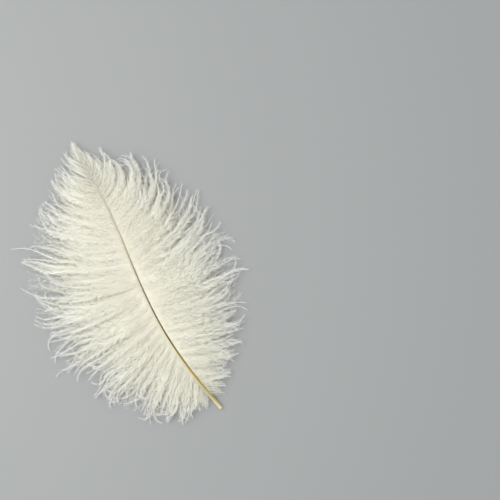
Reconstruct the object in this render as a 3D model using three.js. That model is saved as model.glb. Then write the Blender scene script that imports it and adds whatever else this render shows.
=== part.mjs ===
// Ostrich feather, lying with its shaft along +Y and the surface it lies on at z = 0.
// Units are millimetres, +Z is up. The cut quill is at low Y and the tip at high Y.
//
// Three pieces: the shaft, and the two vanes that grow from its sides. A vane is a
// loose fringe of fine barbs. Here each one is the thin arched solid that its barbs
// fill, from the shaft out to the barb tips.

import * as THREE from 'three';
import { mergeVertices } from 'three/addons/utils/BufferGeometryUtils.js';

// ---- Shaft ------------------------------------------------------------------
const CHORD = 200;                 // straight distance from the cut quill to the tip
const SWAY = [5.05, 3.35, -0.18];  // sideways waves along the chord: one, two and three half waves
const ARCH = 10;                   // height that the middle of the shaft stands above its ends
const TIP_LIFT = 1.6;              // height of the tip, which lies on its own barbs
const QUILL_RADIUS = 1.2;
const TIP_RADIUS = 0.15;
const TAPER = 2.0;                 // power of the narrowing from quill to tip
const FLATNESS = 0.86;             // height of the shaft's section over its width
const CUT_BEVEL = 0.12;            // worn edge around the cut end
const SHAFT_SIDES = 12;
const SHAFT_STEPS = 44;

// ---- Vanes ------------------------------------------------------------------
const FIRST_BARB = 0.055;          // where the barbs start and end, as shares of the chord
const LAST_BARB = 0.995;
const GAP = 0.35;                  // clear space between the shaft and a vane
const EDGE_THICKNESS = 0.9;        // a vane at the shaft and at the barb tips
const SWELL = 1.8;                 // how much thicker it is half way out
const BARB_RISE = 2.4;             // how far a barb's middle control point is above its root
const BARB_DROP = 6;               // how far its end would hang below the surface
const STEPS_ALONG = 28;
const STEPS_OUT = 10;

// Barbs at nine even stations from quill to tip. `set` is the angle in degrees between
// the shaft's forward direction and the barb where it leaves the shaft. `turn` is how
// far the barb bends towards the tip (negative) or the quill (positive) by its end.
const VANES = {
  vane_left: {
    side: -1,
    set: [135, 128, 115, 100, 86, 76, 66, 50, 10],
    turn: [10, 4, -6, -20, -32, -40, -40, -30, -4],
    length: [9, 38, 59, 75, 79, 67, 46, 24, 4],
  },
  vane_right: {
    side: 1,
    set: [130, 122, 113, 104, 94, 85, 76, 58, 10],
    turn: [10, 2, -8, -22, -44, -62, -70, -60, -6],
    length: [9, 30, 51, 65, 70, 64, 47, 21, 4],
  },
};

const HORN = new THREE.MeshStandardMaterial({ color: 0xb3a277, roughness: 0.45, metalness: 0 });
const DOWN = new THREE.MeshStandardMaterial({ color: 0xe6e1cf, roughness: 0.95, metalness: 0 });

const UP = new THREE.Vector3(0, 0, 1);

/** Half width of the shaft at a share t of its length. */
function shaftRadius(t) {
  return TIP_RADIUS + (QUILL_RADIUS - TIP_RADIUS) * (1 - t) ** TAPER;
}

/** Centre line of the shaft: a slow S in plan and a low arch in height. */
class ShaftLine extends THREE.Curve {
  getPoint(t, target = new THREE.Vector3()) {
    const sway = SWAY.reduce((sum, size, i) => sum + size * Math.sin((i + 1) * Math.PI * t), 0);
    const height = shaftRadius(t) * FLATNESS + ARCH * Math.sin(Math.PI * t) + TIP_LIFT * t;
    return target.set(-sway, CHORD * t, height);
  }
}

const shaftLine = new ShaftLine();

/** Centre, forward and sideways (right-hand) directions of the shaft at t. */
function shaftFrame(t) {
  const centre = shaftLine.getPoint(t);
  const forward = shaftLine.getTangent(t);
  const right = new THREE.Vector3().crossVectors(forward, UP).normalize();
  return { centre, forward, right };
}

/** Moves every corner of a geometry by `place`, and welds the corners that meet. */
function reshape(geometry, place) {
  geometry.deleteAttribute('normal');
  geometry.deleteAttribute('uv');
  const welded = mergeVertices(geometry, 1e-5);
  const corners = welded.attributes.position;
  const corner = new THREE.Vector3();
  for (let i = 0; i < corners.count; i++) {
    const placed = place(corner.fromBufferAttribute(corners, i));
    corners.setXYZ(i, placed.x, placed.y, placed.z);
  }
  welded.computeVertexNormals();
  return welded;
}

/** The shaft: a tapered round bar, turned about Y, then bent along the centre line. */
function shaftGeometry() {
  const profile = [new THREE.Vector2(0, 0), new THREE.Vector2(QUILL_RADIUS - CUT_BEVEL, 0)];
  for (let i = 0; i <= SHAFT_STEPS; i++) {
    const t = Math.max(i / SHAFT_STEPS, CUT_BEVEL / CHORD);
    profile.push(new THREE.Vector2(shaftRadius(t), CHORD * t));
  }
  profile.push(new THREE.Vector2(0, CHORD + TIP_RADIUS));

  const place = ({ x, y, z }) => {
    const { centre, forward, right } = shaftFrame(THREE.MathUtils.clamp(y / CHORD, 0, 1));
    const upright = new THREE.Vector3().crossVectors(right, forward);
    const beyond = Math.max(y - CHORD, 0);
    return centre
      .addScaledVector(right, x)
      .addScaledVector(upright, z * FLATNESS)
      .addScaledVector(forward, beyond);
  };
  return reshape(new THREE.LatheGeometry(profile, SHAFT_SIDES), place);
}

/** Smooth value between evenly spaced stations at a share v of the way along them. */
function between(stations, v) {
  const heights = stations.map((value, i) => new THREE.Vector2(i, value));
  return new THREE.SplineCurve(heights).getPoint(v).y;
}

/** One barb's middle line, from the side of the shaft to its tip. */
function barbLine({ side, set, turn, length }, v) {
  const t = THREE.MathUtils.lerp(FIRST_BARB, LAST_BARB, v);
  const { centre, forward, right } = shaftFrame(t);
  const heading = Math.atan2(forward.x, forward.y);
  const reach = between(length, v) / 2;
  const step = (from, degrees) => {
    const angle = heading + side * THREE.MathUtils.degToRad(degrees);
    return from.clone().add(new THREE.Vector3(Math.sin(angle), Math.cos(angle), 0).multiplyScalar(reach));
  };
  const root = centre.clone().addScaledVector(right, side * (shaftRadius(t) + GAP));
  const knee = step(root, between(set, v));
  const tip = step(knee, between(set, v) + between(turn, v));
  knee.z = centre.z + BARB_RISE;
  tip.z = -BARB_DROP;
  return new THREE.QuadraticBezierCurve3(root, knee, tip);
}

/** A vane: a flat box whose width follows the barbs, station by station along the shaft. */
function vaneGeometry(vane) {
  const lines = Array.from({ length: STEPS_ALONG + 1 }, (_, i) => barbLine(vane, i / STEPS_ALONG));
  const place = ({ x, y, z }) => {
    const line = lines[Math.round((y + 0.5) * STEPS_ALONG)];
    const out = 0.5 + vane.side * x;
    const point = line.getPoint(out);
    const thickness = EDGE_THICKNESS + SWELL * 4 * out * (1 - out);
    const underside = Math.max(point.z - thickness / 2, 0);
    point.z = underside + thickness * (z + 0.5);
    return point;
  };
  return reshape(new THREE.BoxGeometry(1, 1, 1, STEPS_OUT, STEPS_ALONG, 1), place);
}

/** A named mesh. */
function piece(name, geometry, material) {
  const mesh = new THREE.Mesh(geometry, material);
  mesh.name = name;
  return mesh;
}

const feather = new THREE.Group();
feather.add(piece('shaft', shaftGeometry(), HORN));
for (const [name, vane] of Object.entries(VANES)) {
  feather.add(piece(name, vaneGeometry(vane), DOWN));
}

// The origin is under the middle of the feather, on the surface that it lies on.
const box = new THREE.Box3().setFromObject(feather);
const middle = box.getCenter(new THREE.Vector3());
feather.position.set(-middle.x, -middle.y, -box.min.z);

export default feather;
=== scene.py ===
# %% [markdown]
# # An ostrich feather, lying on a table
#
# A plume is a slim shaft of horn with a fringe of soft barbs down each side. The packed
# model gives the frame: where the shaft lies, and how far the two vanes reach. This
# notebook dresses that frame. It grows every barb and its fine side hairs as mesh, gives
# the shaft its real section, and sets up a soft studio light. Lengths are worked out in
# millimetres, because a feather is easier to think about in them, and become metres only
# when a mesh is made.

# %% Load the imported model
import math
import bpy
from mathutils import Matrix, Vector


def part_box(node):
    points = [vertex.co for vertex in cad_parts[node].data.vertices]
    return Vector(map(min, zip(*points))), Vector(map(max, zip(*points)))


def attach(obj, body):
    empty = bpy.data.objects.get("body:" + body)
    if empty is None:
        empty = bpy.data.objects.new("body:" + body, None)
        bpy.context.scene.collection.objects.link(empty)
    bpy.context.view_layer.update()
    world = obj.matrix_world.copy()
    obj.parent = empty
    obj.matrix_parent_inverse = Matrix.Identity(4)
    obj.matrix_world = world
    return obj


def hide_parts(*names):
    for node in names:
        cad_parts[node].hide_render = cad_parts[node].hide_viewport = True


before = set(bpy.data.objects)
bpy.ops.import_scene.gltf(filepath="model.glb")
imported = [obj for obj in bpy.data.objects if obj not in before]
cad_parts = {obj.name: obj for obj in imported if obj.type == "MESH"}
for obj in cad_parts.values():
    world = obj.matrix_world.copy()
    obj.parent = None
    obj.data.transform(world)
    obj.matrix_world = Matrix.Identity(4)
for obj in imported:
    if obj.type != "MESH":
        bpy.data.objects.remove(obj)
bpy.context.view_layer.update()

from types import SimpleNamespace

import bpy
import numpy as np

MM = 0.001
UP = np.array([0.0, 0.0, 1.0])
rng = np.random.default_rng(18)

# %% [markdown]
# ## Small tools for curves
#
# Everything on a feather follows a curve, so four helpers come first. One makes directions
# one unit long, and one blends smoothly from 0 to 1. One runs a smooth curve through a few
# evenly spaced values, and the last spaces things closer together where such a curve is
# high. Blender's own curve objects could do the same, but with thousands of hairs it is
# far quicker to work on whole numpy arrays.

# %% Curve helpers
CROWDING_STEPS = 101


def unit(vectors):
    """Each vector divided by its own length."""
    return vectors / np.linalg.norm(vectors, axis=-1, keepdims=True)


def ease(x):
    """0 below 0, 1 above 1, and 3x^2 - 2x^3 between, so it starts and ends level."""
    x = np.clip(x, 0, 1)
    return x * x * (3 - 2 * x)


def between(stations, v):
    """Catmull-Rom curve through evenly spaced values, read at a share v of the way along.

    In each interval the value is a cubic whose slope at a station is half the difference
    of that station's two neighbours.
    """
    stations = np.asarray(stations, float)
    last = len(stations) - 1
    place = np.clip(v, 0, 1) * last
    i = np.clip(np.floor(place).astype(int), 0, last - 1)
    x = place - i
    a, b, c, d = (stations[np.clip(i + k, 0, last)] for k in (-1, 0, 1, 2))
    return b + x * ((c - a) / 2 + x * (a - 2.5 * b + 2 * c - d / 2 + x * (1.5 * (b - c) + (d - a) / 2)))


def crowded(stations, share):
    """Places from 0 to 1 for even shares from 0 to 1, closer together where the curve
    through the stations is higher: the running sum of the curve, read backwards."""
    grid = np.linspace(0, 1, CROWDING_STEPS)
    total = np.cumsum(between(stations, grid))
    return np.interp(share, (total - total[0]) / (total[-1] - total[0]), grid)


print("halfway from the first to the second of 0, 1 and 0:", between((0, 1, 0), 0.25))

# %% [markdown]
# ## The line of the shaft
#
# Seen from above the shaft is a slow S, and from the side it is a low arch: the quill end
# and the tip lie near the table and the middle stands up. Both are sums of sine waves of
# the share `t` of the way from the cut quill to the tip. The shaft thins quickly at first
# and then slowly, which a power of `1 - t` gives.

# %% Shaft line
CHORD = 200.0
SWAY = np.array([5.05, 3.35, -0.18])
ARCH = 10.0
TIP_LIFT = 1.6
QUILL_RADIUS = 1.2
TIP_RADIUS = 0.15
TAPER = 2.0
FLATNESS = 0.86


def shaft_radius(t):
    """Half width: the tip's, and the rest times (1 - t) to the power TAPER."""
    return TIP_RADIUS + (QUILL_RADIUS - TIP_RADIUS) * np.clip(1 - t, 0, 1) ** TAPER


def shaft_point(t):
    """x is minus a sum of one, two and three half waves; y is CHORD t; z is half the
    section's height, plus half a sine wave of height ARCH, plus TIP_LIFT t."""
    half_waves = np.pi * np.arange(1, len(SWAY) + 1)
    x = -(SWAY * np.sin(half_waves * t[..., None])).sum(-1)
    z = shaft_radius(t) * FLATNESS + ARCH * np.sin(np.pi * t) + TIP_LIFT * t
    return np.stack([x, CHORD * t, z], -1)


def shaft_frame(t, step=1e-4):
    """Centre, forward, right-hand and upright directions of the shaft at t."""
    forward = unit(shaft_point(t + step) - shaft_point(t - step))
    right = unit(np.cross(forward, UP))
    return shaft_point(t), forward, right, np.cross(right, forward)


print("shaft half width in mm, quill to tip:", np.round(shaft_radius(np.linspace(0, 1, 6)), 2).tolist())

# %% [markdown]
# ## From triangles to an object
#
# A mesh here is three arrays: points, triangles, and a pair of numbers for each point
# that the material reads, stored as a UV map. `foreach_set` copies whole arrays into
# Blender at once. Shaft and barbs are tubes. A tube is a stack of rings with a closed pole
# at each end, so its triangles depend only on how many rings and sides it has.

# %% Mesh helpers
def tube_triangles(rings, pale_and_lit):
    """Triangles of one closed tube whose points are: pole, ring after ring, pole.

    Seen along the tube from its first pole, each ring runs anticlockwise. Every triangle
    runs the way that makes it face outwards.
    """
    ring = 1 + pale_and_lit * np.arange(rings - 1)[:, None]
    here = np.arange(pale_and_lit)
    after = (here + 1) % pale_and_lit
    low_a, low_b = ring + here, ring + after
    walls = np.stack([low_a, low_b + pale_and_lit, low_b, low_a, low_a + pale_and_lit, low_b + pale_and_lit], -1)
    last = 1 + pale_and_lit * (rings - 1)
    first_cap = np.stack([np.zeros(pale_and_lit, int), 1 + here, 1 + after], -1)
    last_cap = np.stack([np.full(pale_and_lit, last + pale_and_lit), last + after, last + here], -1)
    return np.concatenate([first_cap, walls.reshape(-1, 3), last_cap])


def repeated(triangles, points_each, copies):
    """The same triangles for each of many copies, each numbered past the one before."""
    return (triangles + points_each * np.arange(copies)[:, None, None]).reshape(-1, 3)


def make_mesh(name, points, triangles, marks, smooth, material):
    """An object at the origin from points in mm, triangles and a UV pair for each point.

    Where a triangle closes a ring, its second mark would jump back from nearly 1 to 0 and
    squeeze the whole pattern into it. There 1 is added to the low marks instead.
    """
    corner_marks = marks[triangles]
    closing = np.ptp(corner_marks[..., 1], axis=1) > 0.5
    corner_marks[closing, :, 1] += corner_marks[closing, :, 1] < 0.5
    mesh = bpy.data.meshes.new(name)
    mesh.vertices.add(len(points))
    mesh.vertices.foreach_set("co", (points * MM).astype(np.float32).ravel())
    mesh.loops.add(triangles.size)
    mesh.loops.foreach_set("vertex_index", triangles.astype(np.int32).ravel())
    mesh.polygons.add(len(triangles))
    mesh.polygons.foreach_set("loop_start", np.arange(0, triangles.size, 3, dtype=np.int32))
    mesh.polygons.foreach_set("use_smooth", np.broadcast_to(smooth, len(triangles)).astype(bool))
    uv = mesh.uv_layers.new(name="marks")
    uv.data.foreach_set("uv", corner_marks.astype(np.float32).ravel())
    mesh.update(calc_edges=True)
    mesh.materials.append(material)
    piece = bpy.data.objects.new(name, mesh)
    bpy.context.scene.collection.objects.link(piece)
    print(f"{name}: {len(points)} points, {len(triangles)} triangles")
    return piece


print("a tube of two rings with three sides:", len(tube_triangles(2, 3)), "triangles")

# %% [markdown]
# ## Colours and finishes
#
# A material is a small graph of nodes. All of them here share a few steps: reading the
# pair of numbers that the mesh carries in its UV map, turning one number into a colour
# with a ramp, making cloudy noise, and mixing two colours. Colours are given as they look
# on a screen and changed to the linear values that Blender's shaders use.

# %% Material helpers
def linear(*screen):
    """Screen colour from 0 to 255 as the linear colour that a shader reads."""
    share = np.array(screen) / 255
    low, high = share / 12.92, ((share + 0.055) / 1.055) ** 2.4
    return (*np.where(share <= 0.04045, low, high).tolist(), 1.0)


def new_material(name, roughness, specular):
    """A node material: its data block, its tree and its Principled shader."""
    material = bpy.data.materials.new(name)
    material.use_nodes = True
    shader = material.node_tree.nodes["Principled BSDF"]
    shader.inputs["Roughness"].default_value = roughness
    shader.inputs["Specular IOR Level"].default_value = specular
    return material, material.node_tree, shader


def read_marks(tree):
    """The coordinates node, and the two numbers of the UV map as two sockets."""
    coordinates = tree.nodes.new("ShaderNodeTexCoord")
    split = tree.nodes.new("ShaderNodeSeparateXYZ")
    tree.links.new(coordinates.outputs["UV"], split.inputs["Vector"])
    return coordinates, split.outputs["X"], split.outputs["Y"]


def add_ramp(tree, value, stops):
    """A colour ramp read at `value`. Stops are (place, colour), in rising order."""
    ramp = tree.nodes.new("ShaderNodeValToRGB")
    elements = ramp.color_ramp.elements
    elements[0].position, elements[0].color = stops[0]
    elements[-1].position, elements[-1].color = stops[-1]
    for place, colour in stops[1:-1]:
        elements.new(place).color = colour
    tree.links.new(value, ramp.inputs["Fac"])
    return ramp.outputs["Color"]


def add_noise(tree, vector, scale, stretch):
    """Cloudy noise, its pattern stretched by a Mapping node."""
    mapping = tree.nodes.new("ShaderNodeMapping")
    mapping.inputs["Scale"].default_value = stretch
    noise = tree.nodes.new("ShaderNodeTexNoise")
    noise.inputs["Scale"].default_value = scale
    tree.links.new(vector, mapping.inputs["Vector"])
    tree.links.new(mapping.outputs["Vector"], noise.inputs["Vector"])
    return noise.outputs["Fac"]


def add_mix(tree, mode, share, first, second):
    """Two colours mixed. `share` is a number or a socket, and each colour is a socket."""
    mix = tree.nodes.new("ShaderNodeMix")
    mix.data_type = "RGBA"
    mix.blend_type = mode
    if isinstance(share, bpy.types.NodeSocket):
        tree.links.new(share, mix.inputs["Factor"])
    else:
        mix.inputs["Factor"].default_value = share
    tree.links.new(first, mix.inputs["A"])
    tree.links.new(second, mix.inputs["B"])
    return mix.outputs["Result"]


print("middle grey on a screen, 128, is linear", round(linear(128)[0], 3))

# %% [markdown]
# ## The shaft's horn
#
# The bare quill is golden, with a pale cut end. Up the feather the horn turns dark olive
# along its back and stays pale yellow underneath, and near the tip it pales to the cream of
# the barbs. The dark colour also runs down the right flank as painted shade. The left
# flank, which faces the lamp, stays pale and bright as painted light. The UV map holds how
# far along the shaft a point is, and how far round: 0 is underneath, 0.25 the right side,
# 0.5 the top and 0.75 the left side. One ramp along the shaft gives the back's colour and
# another the pale colour of the underside and of the lit left flank. A third, round the
# section, says where the dark back and the painted shade lie. Fine lengthwise streaks
# break up the tone.

# %% Horn
WHITE = (1, 1, 1, 1)
BLACK = (0, 0, 0, 1)
BACK_COLOURS = [
    (0.0015, linear(240, 232, 196)), (0.004, linear(214, 200, 150)), (0.05, linear(182, 160, 100)),
    (0.14, linear(164, 140, 74)), (0.21, linear(142, 118, 54)), (0.29, linear(86, 66, 0)),
    (0.46, linear(66, 52, 0)), (0.54, linear(96, 82, 30)), (0.65, linear(180, 172, 136)),
    (0.8, linear(214, 210, 186)), (1.0, linear(240, 238, 224)),
]
# Pale yellow of the underside and the left flank. On the left flank its brightness is painted light from
# the lamp.
PALE_AND_LIT_COLOURS = [
    (0.0, linear(240, 232, 196)), (0.14, linear(234, 220, 162)), (0.35, linear(250, 242, 204)),
    (0.6, linear(246, 243, 222)), (1.0, linear(246, 244, 230)),
]
# Where the dark back colour lies round the section: over the top and down the right flank as painted
# shade, leaving the left flank pale as painted light.
BACK_AND_SHADE_PLACE = [(0.17, WHITE), (0.22, BLACK), (0.55, BLACK), (0.62, WHITE)]
STREAKS = [(0.3, (0.88, 0.87, 0.84, 1)), (0.7, WHITE)]
STREAK_STRETCH = (14, 60, 1)


def horn_finish():
    """Back and side colours by place along the shaft, mixed by place round it.

    The dark back also covers the right flank as painted shade, and the pale colour on the
    left flank is painted light from the lamp on the left.
    """
    horn, tree, shader = new_material("horn", roughness=0.3, specular=0.18)
    coordinates, along, around = read_marks(tree)
    back = add_ramp(tree, along, BACK_COLOURS)
    pale_and_lit = add_ramp(tree, along, PALE_AND_LIT_COLOURS)
    # This mix paints shade on the right flank and light on the left flank.
    tone = add_mix(tree, "MIX", add_ramp(tree, around, BACK_AND_SHADE_PLACE), back, pale_and_lit)
    grain = add_ramp(tree, add_noise(tree, coordinates.outputs["UV"], 1.0, STREAK_STRETCH), STREAKS)
    tree.links.new(add_mix(tree, "MULTIPLY", 1.0, tone, grain), shader.inputs["Base Color"])
    return horn


horn = horn_finish()
print("horn:", len(horn.node_tree.nodes), "nodes")

# %% [markdown]
# ## The shaft
#
# The section is a slightly flattened round, with a groove along its underside once the
# barbs begin. The knife left a flat end: a rounded rim round a sunken pith. The whole
# piece is a profile carried along the shaft line, as rings of points. The first few rings
# lie across the cut, so one stack of rings makes the pith, the rim and the wall.

# %% Shaft piece
SHAFT_RINGS = 260
SHAFT_SIDES = 28
CUT_RINGS = ((0.35, 0.3), (0.68, 0.26), (0.8, 0.04), (0.88, 0.0), (0.97, 0.03))
RIM_DEPTH = 0.12
GROOVE_DEPTH = 0.3
GROOVE_WIDTH = 0.4
GROOVE_START = (0.05, 0.14)


def shaft_rings():
    """Points and marks of all rings of the shaft, as two arrays of rings x sides.

    The rings across the cut are each a share of the quill's width and set in by some mm.
    A ring's height at an angle is the radius times FLATNESS times its sine. Underneath, a
    bell-shaped share of the radius is taken off it for the groove.
    """
    widths, depths = np.array(CUT_RINGS).T
    t = np.concatenate([depths / CHORD, np.linspace(RIM_DEPTH / CHORD, 1, SHAFT_RINGS)])
    size = np.concatenate([widths, np.ones(SHAFT_RINGS)]) * shaft_radius(t)
    around = np.arange(SHAFT_SIDES) / SHAFT_SIDES
    angle = 2 * np.pi * around - np.pi / 2
    across, height = np.cos(angle), FLATNESS * np.sin(angle)
    low, high = GROOVE_START
    depth = GROOVE_DEPTH * ease((t - low) / (high - low))[:, None]
    height = height + depth * np.exp(-((across / GROOVE_WIDTH) ** 2)) * (np.sin(angle) < 0)
    centre, forward, right, upright = (part[:, None] for part in shaft_frame(t))
    rings = centre + size[:, None, None] * (right * across[:, None] + upright * height[..., None])
    return rings, np.stack(np.broadcast_arrays(t[:, None], around), -1)


def closed_stack(rings):
    """Rows of one tube: the first ring's middle, the rings, the last ring's middle."""
    rows = rings.reshape(-1, rings.shape[-1])
    return np.concatenate([rings[0].mean(0)[None], rows, rings[-1].mean(0)[None]])


rings, ring_marks = shaft_rings()
shaft_points, shaft_marks = closed_stack(rings), closed_stack(ring_marks)
print("shaft:", len(rings), "rings of", SHAFT_SIDES, "points")

# %% [markdown]
# ## Laying the feather on the frame
#
# The imported shaft follows the same line, but its origin is under the middle of the whole
# feather. The middle of the imported shaft's box, less the middle of this one, is the shift
# that brings every piece into place. The table is at height 0 in both. Each finished piece
# is then tied to the body that it rides on, and the imported piece that it stands in for
# is hidden.

# %% Place in the frame
packed_middle = np.mean([list(corner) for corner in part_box("shaft")], axis=0) / MM
own_middle = (shaft_points.min(0) + shaft_points.max(0)) / 2
SHIFT = (packed_middle - own_middle) * [1, 1, 0]
print("shift in mm:", np.round(SHIFT, 2))

horn_shaft = make_mesh("horn_shaft", shaft_points + SHIFT, tube_triangles(len(rings), SHAFT_SIDES),
                       shaft_marks, True, horn)
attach(horn_shaft, "root")
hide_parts("shaft")

# %% [markdown]
# ## Where the barbs go
#
# Each barb leaves the shaft at an angle, then bends: towards the tip over most of the
# feather, and back towards the quill at its base. Near the tip its outer half also curls
# forward. Nine stations along each vane give the angle, the bend, the length, the curl
# and how strongly the ends hook, and a barb between stations reads them from a smooth
# curve. Angles are in degrees. Barbs stand closer together low on the feather, where they
# fan out. Each rises from its root and would hang below the table at its end, and the
# table holds it up.

# %% The two vanes
LEFT = SimpleNamespace(
    side=-1, count=470,
    set=(135, 128, 115, 100, 86, 76, 66, 50, 10),
    turn=(10, 4, -6, -20, -32, -40, -40, -30, -4),
    length=(9, 38, 59, 75, 79, 67, 46, 24, 4),
    curl=(0, 0, 0, 0, 0, -10, -20, -20, 0),
    hook=(40, 75, 70, 55, 42, 30, 25, 25, 10),
)
RIGHT = SimpleNamespace(
    side=1, count=470,
    set=(130, 122, 113, 104, 94, 85, 76, 58, 10),
    turn=(10, 2, -8, -22, -44, -62, -70, -60, -6),
    length=(9, 30, 51, 65, 70, 64, 47, 21, 4),
    curl=(0, 0, 0, 0, -10, -30, -60, -60, 0),
    hook=(40, 60, 55, 45, 40, 42, 50, 50, 10),
)
FIRST_BARB = 0.055
LAST_BARB = 0.995
BARB_CROWDING = (0.8, 1.05, 1.4, 1.4, 1.25, 0.95, 0.75, 0.74, 0.8)
BARB_PLACE = (0.1, 0.9)
BARB_RISE = 2.4
BARB_DROP = 6.0
print("barbs:", LEFT.count, "on the left and", RIGHT.count, "on the right")

# %% [markdown]
# ## Layers, locks and swings
#
# Real barbs don't lie evenly. They lie in layers, here three. In the upper two, neighbours
# cling together in small locks, some of them shorter than others. The lowest layer is
# combed and shorter still, and fills the gaps between the locks. Whole stretches of a
# fringe lean one way or stand a little higher, which is a slow swing along it.

# %% Layers, locks and swings
LAYERS = 3
LAYER_STEP = 1.0
LOCK_SIZES = (1, 4)
RIDGES = SimpleNamespace(size=1.2, turns=(20, 38), waves=4)
LEAVE_SWING = SimpleNamespace(size=1.5, turns=(3, 14), waves=6)
BEND_SWING = SimpleNamespace(size=4, turns=(5, 24), waves=6)


def swing(v, row, kind):
    """A slow wander along the fringe, the same one for all barbs with the same `row`.

    It is the sum of some sine waves of v with random turns and phases, over the root of
    half their number, so that its usual size is `kind.size`.
    """
    shape = (row.max() + 1, kind.waves)
    turns = rng.uniform(*kind.turns, shape)[row]
    phases = rng.uniform(0, 2 * np.pi, shape)[row]
    return kind.size * np.sin(2 * np.pi * turns * v[:, None] + phases).sum(-1) / math.sqrt(kind.waves / 2)


def plan_locks(n):
    """Layer and lock of each of n barbs: barbs take turns in the layers, and a lock is a
    few neighbours of one layer."""
    layer = np.arange(n) % LAYERS
    lock = np.empty(n, int)
    lock[np.argsort(layer, kind="stable")] = np.repeat(np.arange(n), rng.integers(*LOCK_SIZES, n))[:n]
    return layer, lock


print("barbs in a lock:", LOCK_SIZES[0], "to", LOCK_SIZES[1] - 1)

# %% [markdown]
# ## What sets each barb apart
#
# On top of the stations and the swings, every value of a barb gets two kinds of chance:
# one shared by its lock, and one of its own. Pairs of numbers below give the sizes of the
# two. The lowest layer gets only about a third of both. Angles, such as the leaving angle
# and the wander, are in degrees, and heights, such as the heave, in millimetres.

# %% One fringe's plan
UNDER_REACH = (0.74, 0.96)
UNDER_LOOSE = 0.35
TOP_REACH = 1.06
TOP_CUT = 0.45
TOP_CUT_SHAPE = (1.3, 1.9)
REACH_CHANCE = 0.05
LEAVE_CHANCE = (1.5, 1.5)
BEND_CHANCE = (5, 9)
HOOK_CHANCE = (1.0, 0.8)
KNEE_CHANCE = (0.9, 0.4)
TIP_CHANCE = (2.2, 0.8)
TIP_SPREAD = 2
SLOW_WANDER = SimpleNamespace(size=9, turns=(0.5, 1.2))
QUICK_WANDER = SimpleNamespace(size=7, turns=(1.2, 2.6))
OWN_WANDER = SimpleNamespace(size=11, turns=(2, 4))
SLOW_HEAVE = SimpleNamespace(size=1.0, turns=(1.0, 2.6))
QUICK_HEAVE = SimpleNamespace(size=0.8, turns=(4, 9))
LOCK_GRIP = (0.2, 0.9)
REST_HEIGHT = 0.3
REST_CHANCE = 0.8
REST_SPREAD = (0, 0.5)


def plan_fringe(vane):
    """What sets one vane's barbs apart: one value, or one row of waves, for each barb."""
    n = vane.count
    v = crowded(BARB_CROWDING, (np.arange(n) + rng.uniform(*BARB_PLACE, n)) / n)
    layer, lock = plan_locks(n)
    under = layer == 0
    loose = np.where(under, UNDER_LOOSE, 1.0)

    def shared(size):
        """A normal chance of that size which is the same all through a lock."""
        return loose * rng.normal(0, size, n)[lock]

    def own(size):
        """A normal chance of that size for each barb."""
        return loose * rng.normal(0, size, n)

    def both(sizes):
        """The lock's chance and the barb's own, added."""
        return shared(sizes[0]) + own(sizes[1])

    def wave(chance, kind, who):
        """Size, number of turns from root to tip, and the share of a turn it starts at."""
        return chance(kind.size), rng.uniform(*kind.turns, n)[who], rng.uniform(0, 1, n)[who]

    stack = layer * LAYER_STEP
    level = stack - (LAYERS - 1) / 2 * LAYER_STEP
    under_share = rng.uniform(*UNDER_REACH, n)
    top_share = TOP_REACH - TOP_CUT * rng.beta(*TOP_CUT_SHAPE, n)[lock]
    reach = between(vane.length, v) * (np.where(under, under_share, top_share) + own(REACH_CHANCE))
    ridge = swing(v, np.zeros(n, int), RIDGES)
    return SimpleNamespace(
        side=vane.side, t=FIRST_BARB + (LAST_BARB - FIRST_BARB) * v,
        lock=lock, under=under, length=reach, scale=reach / max(vane.length),
        leave=between(vane.set, v) + loose * swing(v, layer, LEAVE_SWING) + both(LEAVE_CHANCE),
        bend=between(vane.turn, v) + loose * swing(v, layer, BEND_SWING) + both(BEND_CHANCE),
        curl=between(vane.curl, v), hook=both(HOOK_CHANCE) * between(vane.hook, v),
        wander=[wave(shared, SLOW_WANDER, lock), wave(shared, QUICK_WANDER, lock),
                wave(own, OWN_WANDER, np.arange(n))],
        knee_up=BARB_RISE + level + ridge + both(KNEE_CHANCE),
        tip_up=-BARB_DROP + TIP_SPREAD * level + both(TIP_CHANCE),
        heave=[wave(shared, SLOW_HEAVE, lock), wave(own, QUICK_HEAVE, lock)],
        grip=rng.uniform(*LOCK_GRIP, n)[lock],
        rest=REST_HEIGHT + stack + np.abs(shared(REST_CHANCE)) + rng.uniform(*REST_SPREAD, n),
        twist=rng.uniform(-1, 1, n), shade=rng.uniform(0, 1, n),
    )


print("the shortest upper locks reach", round(TOP_REACH - TOP_CUT, 2), "of a station's length")

# %% [markdown]
# ## The way each barb wanders
#
# Seen from above, a barb's line is a walk: start at the side of the shaft and take many
# short steps, each in a direction a little turned from the one before. Adding up the steps
# of all barbs at once is a single running sum. Waves in the direction give the wander of a
# real barb, and extra turning near the end gives its hook, and the length stays true in
# both cases. From here on, `f` is the plan of one fringe, and `u` is the share of the way
# along a barb.

# %% Barb steps
SAMPLES = 57
WAVE_GROWTH = 0.8
HOOK_START = 0.72


def ripple(waves, u):
    """Sum over a barb's waves of size u^WAVE_GROWTH sin(2 pi (turns u + start))."""
    return sum(size[:, None] * u ** WAVE_GROWTH * np.sin(2 * np.pi * (turns[:, None] * u + start[:, None]))
               for size, turns, start in waves)


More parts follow.
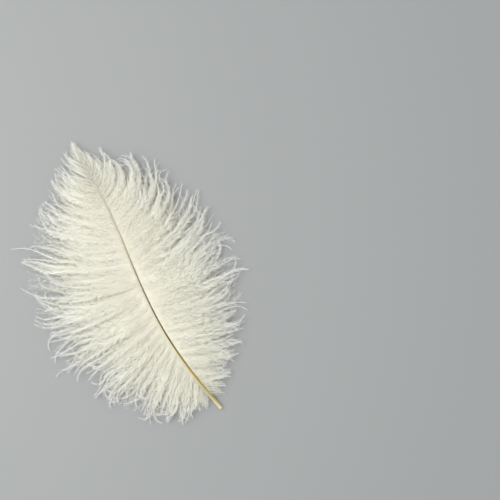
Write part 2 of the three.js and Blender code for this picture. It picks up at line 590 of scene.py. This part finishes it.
def barb_steps(f, heading):
    """The level steps along every barb, as an array of barbs x steps x 2.

    The direction at a share u is the leaving angle, plus the bend times u, plus the curl
    times the cube of u, plus the wander, plus the hook times the square of the share past
    HOOK_START. A step is as long as that of a quadratic Bezier curve with two legs of
    equal length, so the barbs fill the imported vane.
    """
    u = np.linspace(0, 1, SAMPLES)
    half = (u[1:] + u[:-1]) / 2
    hook = np.clip((half - HOOK_START) / (1 - HOOK_START), 0, 1) ** 2
    angle = f.leave[:, None] + f.bend[:, None] * half + f.curl[:, None] * half ** 3
    angle = angle + ripple(f.wander, half) + f.hook[:, None] * hook
    turned = heading[:, None] + f.side * np.radians(angle)
    corner = np.cos(np.radians(f.bend))[:, None]
    stride = np.sqrt((1 - half) ** 2 + half ** 2 + 2 * half * (1 - half) * corner)
    stride = stride * f.length[:, None] / (SAMPLES - 1)
    return np.stack([np.sin(turned), np.cos(turned)], -1) * stride[..., None]


print("steps along each barb:", SAMPLES - 1)

# %% [markdown]
# ## How high each barb lies
#
# Height is worked out apart: a low arch from the shaft down to the table. Then each line
# is drawn towards the mean line of its lock, a little near the shaft and more further out.
# A cloth or hair simulation could settle the barbs on the table. A soft limit does it in
# one step: it keeps each line above the table and above what already lies there, and bends
# it level where it touches.

# %% Barb lines
ROOT_SPOKE = (0.7, 0.3)
ROOT_GRIP = 0.15
GRIP_OVER = 0.2
LOOSE_START = 0.6
LOOSE_OVER = 0.35
TOUCH = 1.6
TOUCH_OVER = 1 / 3


def lock_mean(lines, lock):
    """Each barb's line replaced by the mean line of its lock."""
    total = np.zeros((lock.max() + 1, *lines.shape[1:]))
    np.add.at(total, lock, lines)
    return (total / np.maximum(np.bincount(lock), 1)[:, None, None])[lock]


def lay_down(height, rest, u):
    """The smooth larger of a height and a rest height r: r + (d + sqrt(d^2 + touch^2)) / 2
    with d the height less r. `touch` grows from 0 at the root, so that roots stay put."""
    lift = height - rest[:, None]
    touch = TOUCH * np.minimum(1, u / TOUCH_OVER)
    return rest[:, None] + (lift + np.sqrt(lift ** 2 + touch ** 2)) / 2


def barb_lines(f):
    """Points along every barb, as an array of barbs x SAMPLES x 3.

    The root is on the side of the shaft, a little above its middle. The height is that of
    a Bezier curve, (1-u)^2 a + 2u(1-u) b + u^2 c, plus the heave. Then a line closes in on
    its lock's mean line: by ROOT_GRIP near the shaft, where barbs lie combed, and by the
    lock's own grip further out.
    """
    u = np.linspace(0, 1, SAMPLES)
    centre, forward, right, upright = shaft_frame(f.t)
    out, up = ROOT_SPOKE
    root = centre + shaft_radius(f.t)[:, None] * (out * f.side * right + up * upright)
    steps = barb_steps(f, np.arctan2(forward[:, 0], forward[:, 1]))
    level = root[:, None, :2] + np.concatenate([np.zeros((len(root), 1, 2)), steps.cumsum(1)], 1)
    knee = root[:, 2:] + f.knee_up[:, None]
    height = (1 - u) ** 2 * root[:, 2:] + 2 * u * (1 - u) * knee + u * u * f.tip_up[:, None]
    height = height + f.scale[:, None] * ripple(f.heave, u)
    lines = np.concatenate([level, height[..., None]], -1)
    loosened = ease((u - LOOSE_START) / LOOSE_OVER)
    grip = ease(u / GRIP_OVER) * (ROOT_GRIP + (f.grip[:, None] - ROOT_GRIP) * loosened) * ~f.under[:, None]
    lines += (lock_mean(lines, f.lock) - lines) * grip[..., None]
    lines[..., 2] = lay_down(lines[..., 2], f.rest, u)
    return lines


print("the lowest barbs lie", REST_HEIGHT, "mm above the table or higher")

# %% [markdown]
# ## Any place along a barb
#
# Stems and hairs stand anywhere along a barb, not only at its sampled points. Two helpers
# read a barb's line at any share of its length, and give three directions there: along the
# barb, level sideways, and upright between them.

# %% Reading a barb's line
def read_rows(table, i, u):
    """Rows of a barbs x SAMPLES table for barbs i at shares u, straight between samples."""
    place = u * (SAMPLES - 1)
    k = np.minimum(place.astype(int), SAMPLES - 2)
    x = (place - k)[:, None]
    return table[i, k] * (1 - x) + table[i, k + 1] * x


def barb_frame(f, i, u):
    """Point, direction along the barb, level sideways direction and upright direction."""
    along = unit(read_rows(f.along, i, u))
    side = unit(np.cross(along, UP))
    return read_rows(f.line, i, u), along, side, np.cross(side, along)


print("half way along a barb is sample number", (SAMPLES - 1) // 2)

# %% [markdown]
# ## The barbs' stems
#
# A barb's stem is a thread that gets thinner towards its end. Three sides are enough for
# something a fifth of a millimetre thick, so each is a three-sided tube with a pole at
# both ends.

# %% Stems
STEM_RINGS = 22
STEM_SIDES = 3
STEM_ROOT = 0.11
STEM_TIP = 0.04
STEM_TAPER = 0.8
STEM_END = 0.995


def grow_stems(f, barbs):
    """Points, triangles and marks of the stems of some barbs.

    A ring's radius is STEM_TIP plus (STEM_ROOT - STEM_TIP) (1 - u)^STEM_TAPER, the last
    part times a size from a half for no length to one for the longest barb. Its three
    corners stand at a third of a turn from each other.
    """
    u = np.linspace(0, STEM_END, STEM_RINGS)
    i, share = np.repeat(barbs, STEM_RINGS), np.tile(u, len(barbs))
    point, _, side, upright = barb_frame(f, i, share)
    size = 0.5 + 0.5 * f.length[i] / f.length.max()
    radius = STEM_TIP + (STEM_ROOT - STEM_TIP) * (1 - share) ** STEM_TAPER * size
    angle = np.pi / 2 + 2 * np.pi * np.arange(STEM_SIDES) / STEM_SIDES
    spoke = side[:, None] * np.cos(angle)[:, None] + upright[:, None] * np.sin(angle)[:, None]
    rings = (point[:, None] + radius[:, None, None] * spoke).reshape(len(barbs), -1, 3)
    middles = point.reshape(len(barbs), STEM_RINGS, 3)
    points = np.concatenate([middles[:, :1], rings, middles[:, -1:]], 1)
    along = np.concatenate([[0], np.repeat(u, STEM_SIDES), [1]])
    marks = np.stack(np.broadcast_arrays(along, f.shade[barbs][:, None]), -1)
    each = tube_triangles(STEM_RINGS, STEM_SIDES)
    return points.reshape(-1, 3), repeated(each, points.shape[1], len(barbs)), marks.reshape(-1, 2)


print("triangles in a stem:", len(tube_triangles(STEM_RINGS, STEM_SIDES)))

# %% [markdown]
# ## How the side hairs stand
#
# What makes the plume soft is the hairs on each stem, some millimetres long and with no
# hooks to hold them flat. Some lie close along the stem and make it a bright cord. The
# others stand open and make a veil between one barb and the next. Open and close stretches
# take turns along a barb, which gives it its tufts. A real stem has ten or more hairs to
# the millimetre. Half that number, each a little wider, gives the same veil.

# %% Ways of the hairs
HAIRS_PER_MM = 5.0
LAST_HAIR = 0.985
HAIR_CROWDING = (1.4, 0.75, 0.85, 1.05, 1.3, 1.45, 1.35, 1.1, 0.8)
HAIR_OPENING = (42, 26, 30, 33, 35, 37, 38, 36, 30)
UNDER_OPENING = 1.5
CLOSE_SHARE = (0.25, 0.2, 0.3, 0.45, 0.5)
CLOSE_OPENING = 10
TUFT_SIZE = 0.3
TUFT_SPACING = 5.0
TUFT_SHIFTS = 7
DROOP = 0.15
DROOP_SPREAD = 0.45
DROOP_OVER = 0.5
BARB_TWIST = 2.5


def uneven(chance):
    """Even chances from 0 to 1 as factors from 0.7 to 1.3."""
    return 0.7 + 0.6 * chance


def hair_ways(f, i, u, place, spread_chance, close_chance):
    """Root point and direction of each hair, on barb i at a share u of it.

    A hair leaves its stem at an opening angle, to the right and the left by turns. Its
    roll about the stem is half a turn for one hand, plus some droop in radians, plus the
    barb's own twist times u squared.
    """
    point, along, side, upright = barb_frame(f, i, u)
    turned = place % 2 == 1
    droop = DROOP + rng.normal(0, DROOP_SPREAD, len(i)) * ease(u / DROOP_OVER)
    roll = np.pi * turned + droop * np.where(turned, 1, -1) + f.twist[i] * BARB_TWIST * u ** 2
    outward = side * np.cos(roll)[:, None] + upright * np.sin(roll)[:, None]
    tuft = 1 + TUFT_SIZE * np.sin(2 * np.pi * (u * f.length[i] / TUFT_SPACING + f.shade[i] * TUFT_SHIFTS))
    spread = between(HAIR_OPENING, u) * uneven(spread_chance) * tuft
    spread = spread * np.where(f.under[i], UNDER_OPENING, 1)
    close = (close_chance < between(CLOSE_SHARE, u)) & ~f.under[i]
    opening = np.radians(np.where(close, CLOSE_OPENING, spread))[:, None]
    return point, along * np.cos(opening) + outward * np.sin(opening)


print("hairs on the longest left barb, about:", round(max(LEFT.length) * HAIRS_PER_MM))

# %% [markdown]
# ## The side hairs
#
# Hair curves would draw them, but a mesh can be used anywhere, so each hair is the
# smallest closed solid there is, a sliver with four faces. Its corners are the root, the
# tip, and two that stand side by side half way along and a little higher, so the hair has
# a width and a slight arch. Hairs are finer towards the end of a barb. They are also
# smaller on short barbs, most of all near the feather's tip, where each barb shows as a
# line of its own.

# %% Hairs
HAIR_LENGTH = (1.8, 2.8, 3.3, 3.6, 3.8, 3.8, 3.6, 3.1, 2.5)
HAIR_WIDTH = (0.17, 0.175, 0.18, 0.18, 0.165, 0.135, 0.095, 0.065, 0.05)
HAIR_ARCH = 0.05
HAIR_ROLL = 0.35
SHORT_BARB = (25.0, 52.0)
SMALLEST = 0.25
TABLE_CLEAR = 0.1
HAIR_FACES = np.array([[0, 2, 1], [0, 1, 3], [1, 2, 3], [2, 0, 3]])


def grow_hairs(f, barbs):
    """Points, triangles and marks of the side hairs of some barbs.

    Half way along, a hair stands higher by HAIR_ARCH of its length, and its two middle
    corners are a width apart there, rolled a little about the hair. Hairs are smaller in
    proportion on a barb shorter than a length that rises evenly, from the first number
    of SHORT_BARB at the quill to the second at the feather's tip. A hair whose tip would
    be under the table is sheared upwards from its root.
    """
    count = np.round(f.length[barbs] * HAIRS_PER_MM).astype(int)
    i = np.repeat(barbs, count)
    place = np.arange(len(i)) - np.repeat(np.cumsum(count) - count, count)
    place_chance, spread_chance, close_chance, length_chance, width_chance = rng.uniform(0, 1, (5, len(i)))
    u = LAST_HAIR * crowded(HAIR_CROWDING, (place + place_chance) / np.repeat(count, count))
    root, way = hair_ways(f, i, u, place, spread_chance, close_chance)
    low, high = SHORT_BARB
    size = np.clip(f.length[i] / (low + (high - low) * f.t[i]), SMALLEST, 1)
    length = (between(HAIR_LENGTH, u) * size * uneven(length_chance))[:, None]
    width = (between(HAIR_WIDTH, u) * np.sqrt(size) * uneven(width_chance))[:, None]
    level = unit(np.cross(way, UP))
    roll = rng.normal(0, HAIR_ROLL, len(i))[:, None]
    across = level * np.cos(roll) + np.cross(level, way) * np.sin(roll)
    middle = root + way * length / 2 + np.cross(across, way) * length * HAIR_ARCH
    tip = root + way * length
    points = np.stack([root, middle - across * width / 2, middle + across * width / 2, tip], 1)
    points[..., 2] += np.maximum(TABLE_CLEAR - tip[:, 2:], 0) * [0, 0.5, 0.5, 1]
    marks = np.repeat(np.stack([u, f.shade[i]], -1), 4, axis=0)
    return points.reshape(-1, 3), repeated(HAIR_FACES, 4, len(i)), marks


print("longest hairs in mm, about:", max(HAIR_LENGTH))

# %% [markdown]
# ## The barbs' finish
#
# Barbs are matt. Next to the shaft they are a warm cream, and outwards they turn to a
# cooler white. The UV map holds the share of the way out along the barb and a number of
# the barb's own, so one ramp runs outwards and another gives each barb its own tone. Soft
# clouds of noise add slight patches.

# %% Down
OUTWARD_COLOURS = [
    (0.0, linear(239, 236, 218)), (0.1, linear(245, 243, 228)), (0.35, linear(248, 247, 234)),
    (0.6, linear(250, 250, 240)), (1.0, linear(252, 252, 250)),
]
BARB_TONES = [(0.0, (0.95, 0.945, 0.93, 1)), (0.5, (1, 1, 0.99, 1)), (1.0, (0.98, 0.98, 0.98, 1))]
PATCHES = [(0.35, (0.975, 0.97, 0.955, 1)), (0.65, WHITE)]
PATCH_SCALE = 60.0


def down_finish():
    """Cream to white along the barb, times a slight tone for each barb and soft patches."""
    down, tree, shader = new_material("down", roughness=0.85, specular=0.15)
    coordinates, out, own = read_marks(tree)
    clouds = add_noise(tree, coordinates.outputs["Object"], PATCH_SCALE, (1, 1, 1))
    colour, tone = add_ramp(tree, out, OUTWARD_COLOURS), add_ramp(tree, own, BARB_TONES)
    toned = add_mix(tree, "MULTIPLY", 1.0, colour, tone)
    patched = add_mix(tree, "MULTIPLY", 1.0, toned, add_ramp(tree, clouds, PATCHES))
    tree.links.new(patched, shader.inputs["Base Color"])
    return down


down = down_finish()
print("down:", len(down.node_tree.nodes), "nodes")

# %% [markdown]
# ## Growing the two fringes
#
# Each fringe is cut along the shaft into three pieces with about the same length of barb,
# so that no single mesh grows too heavy to handle. A piece holds whole barbs: their stems
# and all their hairs in one mesh. Only the stems are shaded smooth, because a sliver's
# faces meet at sharp edges.

# %% Fringes
ZONES = ("lower", "middle", "upper")


def grow_fringe(name, vane):
    """The three pieces of one vane's barbs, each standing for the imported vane."""
    f = plan_fringe(vane)
    f.line = barb_lines(f)
    f.along = np.gradient(f.line, axis=1)
    share = np.cumsum(f.length) / f.length.sum()
    zone = np.minimum((share * len(ZONES)).astype(int), len(ZONES) - 1)
    pieces = []
    for z, zone_name in enumerate(ZONES):
        barbs = np.flatnonzero(zone == z)
        stems, hairs = grow_stems(f, barbs), grow_hairs(f, barbs)
        points = np.concatenate([stems[0], hairs[0]]) + SHIFT
        triangles = np.concatenate([stems[1], hairs[1] + len(stems[0])])
        marks = np.concatenate([stems[2], hairs[2]])
        smooth = np.arange(len(triangles)) < len(stems[1])
        piece = make_mesh(f"barbs_{name}_{zone_name}", points, triangles, marks, smooth, down)
        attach(piece, "root")
        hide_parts(f"vane_{name}")
        pieces.append(piece)
    return pieces


fringes = grow_fringe("left", LEFT) + grow_fringe("right", RIGHT)
total = sum(len(piece.data.polygons) for piece in fringes + [horn_shaft])
print("triangles in all:", total)

# %% [markdown]
# ## The table
#
# The feather lies on a plain pale table. It is one flat face, far wider than the picture,
# so that its edges never show.

# %% Table
TABLE_HALF = 3.0
table_paint, _, table_shader = new_material("table_paint", roughness=0.7, specular=0.2)
table_shader.inputs["Base Color"].default_value = linear(155, 157, 156)
table_corners = TABLE_HALF * np.array([(-1, -1, 0), (1, -1, 0), (1, 1, 0), (-1, 1, 0)])
table_mesh = bpy.data.meshes.new("table")
table_mesh.from_pydata(table_corners.tolist(), [], [(0, 1, 2, 3)])
table_mesh.materials.append(table_paint)
table = bpy.data.objects.new("table", table_mesh)
bpy.context.scene.collection.objects.link(table)
print("table:", 2 * TABLE_HALF, "m square")

# %% [markdown]
# ## The light
#
# A broad soft light stands to the left of the feather, like a window, and a pale sky all
# round fills the shadows. An area light gives soft shadow edges, which fine hairs need: a
# point light would draw each one as a hard black line. The picture is turned against the
# table, so the light's place is given in the picture's directions and turned with it. The
# Standard view transform shows the colours as they were given.

# %% Lights
PICTURE_TURN = math.radians(-29.3)
WINDOW_ACROSS = -0.36
WINDOW_UP_PICTURE = 0.05
WINDOW_HEIGHT = 0.6
WINDOW_SIZE = 0.6
WINDOW_WATTS = 3.55
WINDOW_COLOUR = (1.0, 0.99, 0.97)
SKY_COLOUR = (0.96, 0.97, 1.0, 1)
SKY_STRENGTH = 0.86

cosine, sine = math.cos(PICTURE_TURN), math.sin(PICTURE_TURN)
window_place = np.array([WINDOW_ACROSS * cosine - WINDOW_UP_PICTURE * sine,
                         WINDOW_ACROSS * sine + WINDOW_UP_PICTURE * cosine, WINDOW_HEIGHT])
beam = -unit(window_place)
lamp = bpy.data.lights.new("window", "AREA")
lamp.size = WINDOW_SIZE
lamp.energy = WINDOW_WATTS
lamp.color = WINDOW_COLOUR
window = bpy.data.objects.new("window", lamp)
window.location = window_place
window.rotation_euler = (math.acos(-beam[2]), 0, math.atan2(beam[1], beam[0]) - math.pi / 2)
bpy.context.scene.collection.objects.link(window)

world = bpy.data.worlds.new("studio")
world.use_nodes = True
sky = world.node_tree.nodes["Background"]
sky.inputs["Color"].default_value = SKY_COLOUR
sky.inputs["Strength"].default_value = SKY_STRENGTH
bpy.context.scene.world = world
bpy.context.scene.view_settings.view_transform = "Standard"
print("window light at", np.round(window_place, 2).tolist(), "m")

# %% [markdown]
# ## The camera
#
# The camera looks straight down through a long lens, so that nothing leans outwards near
# the picture's edges. It is turned, so that the feather leans to the left in the picture.
# Its height follows from the lens: the width that it sees, over its distance, is the
# sensor's width over the focal length.

# %% Camera
PICTURE_WIDTH = 327.8
PICTURE_MIDDLE = np.array([67.6, 81.6, 6.0])
LENS = 85.0
SENSOR = 36.0
camera_data = bpy.data.cameras.new("camera")
camera_data.lens = LENS
camera_data.sensor_width = SENSOR
camera = bpy.data.objects.new("camera", camera_data)
camera.location = (PICTURE_MIDDLE + SHIFT + UP * PICTURE_WIDTH * LENS / SENSOR) * MM
camera.rotation_euler = (0, 0, PICTURE_TURN)
bpy.context.scene.collection.objects.link(camera)
bpy.context.scene.camera = camera
print("camera height in m:", round(camera.location.z, 3))
